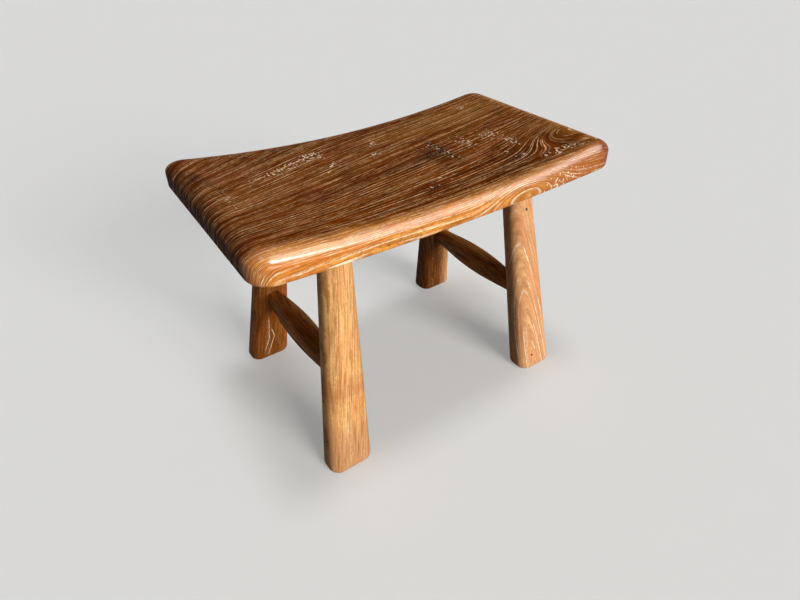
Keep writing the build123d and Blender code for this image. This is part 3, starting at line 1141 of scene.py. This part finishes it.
LEG_LOOKS = {
    "front_left": {
        "seed": 4.0, "warm": srgb(222, 152, 92), "pore": srgb(160, 102, 54), "pore_strength": 0.6,
        "lime": srgb(252, 228, 180), "line_strength": 0.6, "fine_strength": 0.6, "mottle_contrast": 1.7,
        "stained_and_shaded": srgb(176, 100, 56), "bleached": srgb(184, 132, 92),
    },
    "front_right": {
        "seed": 11.0, "warm": srgb(216, 148, 102), "pore": srgb(156, 102, 64), "pore_strength": 0.35,
        "lime": srgb(255, 242, 216), "line_strength": 1.6, "fine_strength": 0.2, "mottle_contrast": 1.2,
        "spacing": 4.6, "line": 0.64, "limed": 0.9, "streak_contrast": 1.4, "band_contrast": 0.1,
    },
    "back_left": {
        "seed": 17.0, "warm": srgb(174, 86, 24), "pore": srgb(92, 42, 6), "pore_strength": 0.5,
        "lime": srgb(255, 226, 180), "line_strength": 0.15, "fine_strength": 0.3, "mottle_contrast": 1.5,
        "streak_contrast": 1.4, "band_contrast": 0.6,
    },
    "back_right": {
        "seed": 23.0, "warm": srgb(134, 68, 20), "pore": srgb(70, 32, 6), "pore_strength": 0.5,
        "lime": srgb(250, 210, 160), "line_strength": 0.25, "fine_strength": 0.35, "mottle_contrast": 1.5,
        # The back right leg's paler colour paints light on its right side.
        "streak_contrast": 1.6, "bleached": srgb(214, 158, 100),
    },
}

# Bold limed lines on the legs' fronts. Each: place across at the floor, lean, the height of its
# bend, lean above it, and from and to which height it runs.
BOLD_LINES = {
    "back_left": (
        (-23.2, 0.256, 56.0, -0.035, 26.0, 110.0),
        (-12.7, 0.253, 58.0, -0.30, 12.0, 78.0),
    ),
}


def leg_frame(leg, x, y, z):
    """Places across a leg and from its front to its back, measured from its middle line."""
    sizes = leg.sizes
    lean_x = leg.side[0] * sizes.splay_x / sizes.shoulder_z
    lean_y = leg.side[1] * sizes.splay_y / sizes.shoulder_z
    u = x - leg.side[0] * sizes.sole_x / MM + z * lean_x
    v = y - leg.side[1] * sizes.sole_y / MM + z * lean_y
    return u, v


BOLD_LINE_WIDTH = (1.5, 0.5)  # how far from its middle a bold line ends and is full
BOLD_LINE_WAVE = (9.0, 2.4)  # length and depth of its waves
BOLD_LINE_FADE = (3.0, 8.0)  # how fast it fades at its foot and its top

# Where a mark on a front face ends and is full, behind that face, and one on a left face, beside
# the leg's middle line.
FRONT_FACE = (16.0, 10.0)
LEFT_FACE = (-8.0, -14.0)
BOLD_LINE_DEPTH = (14.0, 8.0)
NAIL_SHADE_EDGES = (3.2, 1.6)  # how far from a nail hole's middle its painted shade ends and is full

# The front left leg's stain: height, where it ends and is full beside that height, strength, reach
# of the noise that makes it wander, and how far that moves it.
STAIN_HEIGHT = 150.0
STAIN_EDGES = (26.0, 4.0)
STAIN_STRENGTH = 0.45
STAIN_REACH = (16.0, 22.0)
STAIN_WANDER = 60.0
PALER_FOOT = (120.0, 30.0)  # heights between which the front left leg's foot turns paler
PALER_FOOT_STRENGTH = 0.95
PALER_SIDE = (0.0, 22.0)  # places across the back right leg between which its right side turns paler: painted light


def bold_lines(graph, u, z, lines):
    """Single bold limed lines that climb a face and bend once."""
    reach, depth = BOLD_LINE_WAVE
    foot, top = BOLD_LINE_FADE
    total = graph.number(0.0)
    for start, lean, bend, upper_lean, low, high in lines:
        wobble = (graph.line_noise(z / reach + start, detail=1.0) - 0.5) * depth
        climb = z.least(bend) * lean + (z.most(bend) - bend) * upper_lean
        line = (u - climb - wobble - start).absolute().step(*BOLD_LINE_WIDTH)
        total = total.most(line * z.step(low - foot, low + foot) * z.step(high + top, high - top))
    return total


def nail_hole_shade(graph, corner, u, v, z, behind):
    """Painted shade in and round a leg's nail holes."""
    total = graph.number(0.0)
    for name, side, height, across in NAIL_HOLES:
        if name == corner:
            beside = (u if side == "front" else v) - across
            on_face = behind.step(*FRONT_FACE) if side == "front" else u.step(*LEFT_FACE)
            away = (beside * beside + (z - height) * (z - height)).root()
            total = total.most(away.step(*NAIL_SHADE_EDGES) * on_face)
    return total


def leg_material(sizes, finish, corner, side_x, side_y):
    """Straight-grained teak, each leg from its own board."""
    graph = Graph(bpy.data.materials.new("limed_teak_leg_" + corner))
    x, y, z = graph.place_mm()
    u, v = leg_frame(Leg(sizes, side_x, side_y), x, y, z)
    changes = {"wander": 1.6, "band": 8.0, "band_contrast": 1.0, "streak_contrast": 2.3}
    changes.update(LEG_LOOKS[corner])
    look = timber_look(finish, corner, changes)
    pith_u, pith_v, drift_u, drift_v, depth_share = LEG_PITHS[corner]
    behind = v + sizes.foot_depth / MM / 2
    away_u = u - pith_u - z * drift_u
    away_v = behind * depth_share + z * drift_v + pith_v
    ring = (away_u * away_u + away_v * away_v).root()
    # Painted shade in and round the nail holes.
    marks = {"nail_shade": nail_hole_shade(graph, corner, u, v, z, behind)}
    if corner in BOLD_LINES:
        marks["bold"] = bold_lines(graph, u, z, BOLD_LINES[corner]) * behind.step(*BOLD_LINE_DEPTH)
    if corner == "front_left":
        across, along = STAIN_REACH
        cloud = graph.noise(graph.vector(u / across, v / across, z / along)) - 0.5
        away = (z + cloud * STAIN_WANDER - STAIN_HEIGHT).absolute()
        marks["stain"] = away.step(*STAIN_EDGES) * STAIN_STRENGTH
        marks["paler"] = z.step(*PALER_FOOT) * PALER_FOOT_STRENGTH
    # Painted light: the back right leg's right side is lighter.
    if corner == "back_right":
        marks["paler"] = u.step(*PALER_SIDE)
    return limed_timber(graph, Figure(z, ring, v - u), look, marks)


def stretcher_material(finish, name, side_x):
    """Dark straight-grained teak along a stretcher."""
    graph = Graph(bpy.data.materials.new("limed_teak_stretcher_" + name))
    x, y, z = graph.place_mm()
    changes = {
        "seed": 31.0 + side_x, "wander": 1.5, "band": 7.0, "line_strength": 0.2, "fine_strength": 0.15,
        "warm": srgb(160, 78, 28), "pore": srgb(96, 48, 16), "mottle_contrast": 1.4, "streak_contrast": 1.6,
    }
    turn_x, turn_z = RING_TURN
    along = Figure(y, x * turn_x + z * turn_z, z * turn_x - x * turn_z)
    return limed_timber(graph, along, timber_look(finish, "stretcher", changes), {})


def wedge_material(finish):
    """Bare, unstained wood of the hidden wedges."""
    graph = Graph(bpy.data.materials.new("bare_teak_wedge"))
    x, y, z = graph.place_mm()
    changes = {
        "seed": 41.0, "line_strength": 0.0, "fine_strength": 0.0, "mottle_contrast": 1.4,
        "warm": srgb(186, 140, 86), "pore": srgb(130, 90, 50), "varnish": 0.0,
    }
    return limed_timber(graph, Figure(z, x, y), timber_look(finish, "bare", changes), {})


def dress(piece, material, slot, *nodes):
    """Gives a piece its material and its body, and hides the nodes it stands for. The slot is not used."""
    piece.data.materials.clear()
    piece.data.materials.append(material)
    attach(piece, "root")
    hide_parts(*nodes)


class STOOL_OT_seat(bpy.types.Operator):
    """Build the dished seat"""

    bl_idname = "stool.seat"
    bl_label = "Build the seat"

    def execute(self, context):
        material = seat_material(context.scene.stool_finish)
        dress(make_seat(context.scene.stool_sizes), material, "seat_teak", "seat")
        return {"FINISHED"}


class STOOL_OT_legs(bpy.types.Operator):
    """Build the four splayed legs"""

    bl_idname = "stool.legs"
    bl_label = "Build the legs"

    def execute(self, context):
        sizes = context.scene.stool_sizes
        finish = context.scene.stool_finish
        for corner, side_x, side_y in CORNERS:
            leg = make_leg(sizes, corner, side_x, side_y)
            material = leg_material(sizes, finish, corner, side_x, side_y)
            dress(leg, material, "leg_teak", "leg_" + corner)
        return {"FINISHED"}


class STOOL_OT_stretchers(bpy.types.Operator):
    """Build the two swelling stretchers"""

    bl_idname = "stool.stretchers"
    bl_label = "Build the stretchers"

    def execute(self, context):
        for name, side_x in (("left", -1), ("right", 1)):
            piece = make_stretcher(context.scene.stool_sizes, name, side_x)
            material = stretcher_material(context.scene.stool_finish, name, side_x)
            dress(piece, material, "stretcher_teak", "stretcher_" + name)
        return {"FINISHED"}


class STOOL_OT_wedges(bpy.types.Operator):
    """Finish the hidden wedges in bare wood"""

    bl_idname = "stool.wedges"
    bl_label = "Finish the wedges"

    def execute(self, context):
        material = wedge_material(context.scene.stool_finish)
        for corner, _, _ in CORNERS:
            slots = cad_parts["tenon_wedge_" + corner].material_slots
            for slot in slots:
                slot.material = material
        return {"FINISHED"}


# The camera's place and turn, in degrees, and the point it looks at.
CAMERA_AZIMUTH = -34.51
CAMERA_ELEVATION = 37.3
CAMERA_ROLL = -0.23
CAMERA_TARGET = (4.6 * MM, -5.0 * MM, 136.9 * MM)
SENSOR_WIDTH = 36.0  # in mm
SEES_TO = 100.0  # how far the camera sees

# Lamps: name, direction towards the lamp, angle across in degrees, strength, colour, and whether
# it lights the surfaces or only shows in their gloss.
LAMPS = (
    ("key", (0.14, -0.95, 0.28), 32.0, 3.9, (1.0, 0.96, 0.90), True),
    ("overhead", (0.03, 0.06, 1.0), 13.0, 0.76, (1.0, 1.0, 1.0), True),
    ("sheen", (0.54, 0.0, 0.84), 26.0, 3.4, (1.0, 0.97, 0.93), False),
    ("corner glint", (0.37, -0.36, 0.86), 18.0, 11.0, (1.0, 0.98, 0.95), False),
)
FILL = 0.13  # strength of the soft light all round
WALL_ENDS = 0.30  # sines of the heights at which the pale wall ends and has faded
WALL_FADES = 0.42
PAPER_SHARE = 0.35  # how much of the floor's look is the paper's own even glow
FLOOR_SEEN = (0.97, 0.98, 0.99)  # the floor's colour to the eye, and that of the light it sends back up
FLOOR_BOUNCE = (0.11, 0.11, 0.11)


def add_lamp(name, towards, angle, strength, colour, lights):
    """A distant lamp whose angle across sets how soft its shadows are."""
    lamp = bpy.data.lights.new(name, "SUN")
    lamp.energy = strength
    lamp.angle = math.radians(angle)
    lamp.color = colour
    holder = bpy.data.objects.new(name, lamp)
    holder.rotation_euler = Vector(towards).to_track_quat("Z", "Y").to_euler()
    holder.visible_diffuse = lights
    bpy.context.scene.collection.objects.link(holder)


def add_camera(stage):
    """The photograph's viewpoint."""
    turn, tilt, roll = (math.radians(a) for a in (CAMERA_AZIMUTH, CAMERA_ELEVATION, CAMERA_ROLL))
    back = Vector((math.sin(turn) * math.cos(tilt), -math.cos(turn) * math.cos(tilt), math.sin(tilt)))
    right = Vector((math.cos(turn), math.sin(turn), 0.0))
    up = back.cross(right)
    rolled_right = right * math.cos(roll) + up * math.sin(roll)
    rolled_up = up * math.cos(roll) - right * math.sin(roll)
    camera = bpy.data.cameras.new("camera")
    camera.sensor_width = SENSOR_WIDTH
    camera.lens = stage.lens
    camera.clip_end = SEES_TO
    holder = bpy.data.objects.new("camera", camera)
    place = Vector(CAMERA_TARGET) + back * stage.camera_distance
    holder.matrix_world = Matrix((
        (rolled_right.x, rolled_up.x, back.x, place.x),
        (rolled_right.y, rolled_up.y, back.y, place.y),
        (rolled_right.z, rolled_up.z, back.z, place.z),
        (0.0, 0.0, 0.0, 1.0),
    ))
    bpy.context.scene.collection.objects.link(holder)
    bpy.context.scene.camera = holder


def add_floor(stage):
    """A wide pale floor that keeps the stool's shadow."""
    shape = bmesh.new()
    bmesh.ops.create_grid(shape, x_segments=1, y_segments=1, size=stage.floor_size)
    floor = finish_mesh(shape, "floor")
    graph = Graph(bpy.data.materials.new("pale_paper"))
    seen = graph.seen()
    glow = graph.add("ShaderNodeEmission", None, {"Color": tuple(stage.paper), "Strength": 1.0})
    paper = graph.add("ShaderNodeBsdfDiffuse", None, {"Color": graph.mix(seen, FLOOR_BOUNCE, FLOOR_SEEN)})
    blend = graph.add("ShaderNodeMixShader", None, {0: seen * PAPER_SHARE, 1: paper.out(), 2: glow.out()})
    graph.add("ShaderNodeOutputMaterial", None, {"Surface": blend.out()})
    floor.data.materials.append(graph.owner)


def set_world(stage):
    """Even soft light all round, and a band of the paper's colour past the floor, as high as a wall."""
    world = bpy.data.worlds.new("studio")
    bpy.context.scene.world = world
    graph = Graph(world)
    light = graph.add("ShaderNodeBackground", None, {"Color": (1.0, 1.0, 1.0), "Strength": FILL})
    paper = graph.add("ShaderNodeBackground", None, {"Color": tuple(stage.paper), "Strength": 1.0})
    towards = graph.add("ShaderNodeTexCoord").out("Generated")
    direction = graph.add("ShaderNodeSeparateXYZ", None, {"Vector": towards})
    wall = direction.value("Z").step(WALL_FADES, WALL_ENDS)
    blend = graph.add("ShaderNodeMixShader", None, {0: graph.seen() * wall, 1: light.out(), 2: paper.out()})
    graph.add("ShaderNodeOutputWorld", None, {"Surface": blend.out()})


class STOOL_OT_stage(bpy.types.Operator):
    """Set up the floor, the lamps, the world and the camera"""

    bl_idname = "stool.stage"
    bl_label = "Set the stage"

    def execute(self, context):
        stage = context.scene.stool_stage
        add_camera(stage)
        add_floor(stage)
        for lamp in LAMPS:
            add_lamp(*lamp)
        set_world(stage)
        context.scene.view_settings.view_transform = "Standard"
        return {"FINISHED"}


class STOOL_PT_sidebar(bpy.types.Panel):
    """Lists the stool's sizes and its build steps"""

    bl_idname = "STOOL_PT_sidebar"
    bl_label = "Saddle stool"
    bl_space_type = "VIEW_3D"
    bl_region_type = "UI"
    bl_category = "Stool"

    def draw(self, context):
        scene = context.scene
        for settings in (scene.stool_sizes, scene.stool_finish, scene.stool_stage):
            for name in type(settings).__annotations__:
                self.layout.prop(settings, name)
        for step in STEPS:
            self.layout.operator(step.bl_idname)


STEPS = (STOOL_OT_stage, STOOL_OT_seat, STOOL_OT_legs, STOOL_OT_stretchers, STOOL_OT_wedges)
CLASSES = (StoolSizes, StoolFinish, StoolStage) + STEPS + (STOOL_PT_sidebar,)


def register():
    """Registers the classes and hangs the settings on the scene."""
    for cls in CLASSES:
        bpy.utils.register_class(cls)
    bpy.types.Scene.stool_sizes = PointerProperty(type=StoolSizes)
    bpy.types.Scene.stool_finish = PointerProperty(type=StoolFinish)
    bpy.types.Scene.stool_stage = PointerProperty(type=StoolStage)


def unregister():
    """Takes the settings and the classes away again."""
    del bpy.types.Scene.stool_stage
    del bpy.types.Scene.stool_finish
    del bpy.types.Scene.stool_sizes
    for cls in reversed(CLASSES):
        bpy.utils.unregister_class(cls)


def main():
    """Builds the stool and its stage."""
    register()
    bpy.ops.stool.stage()
    bpy.ops.stool.seat()
    bpy.ops.stool.legs()
    bpy.ops.stool.stretchers()
    bpy.ops.stool.wedges()


if __name__ == "__main__":
    main()
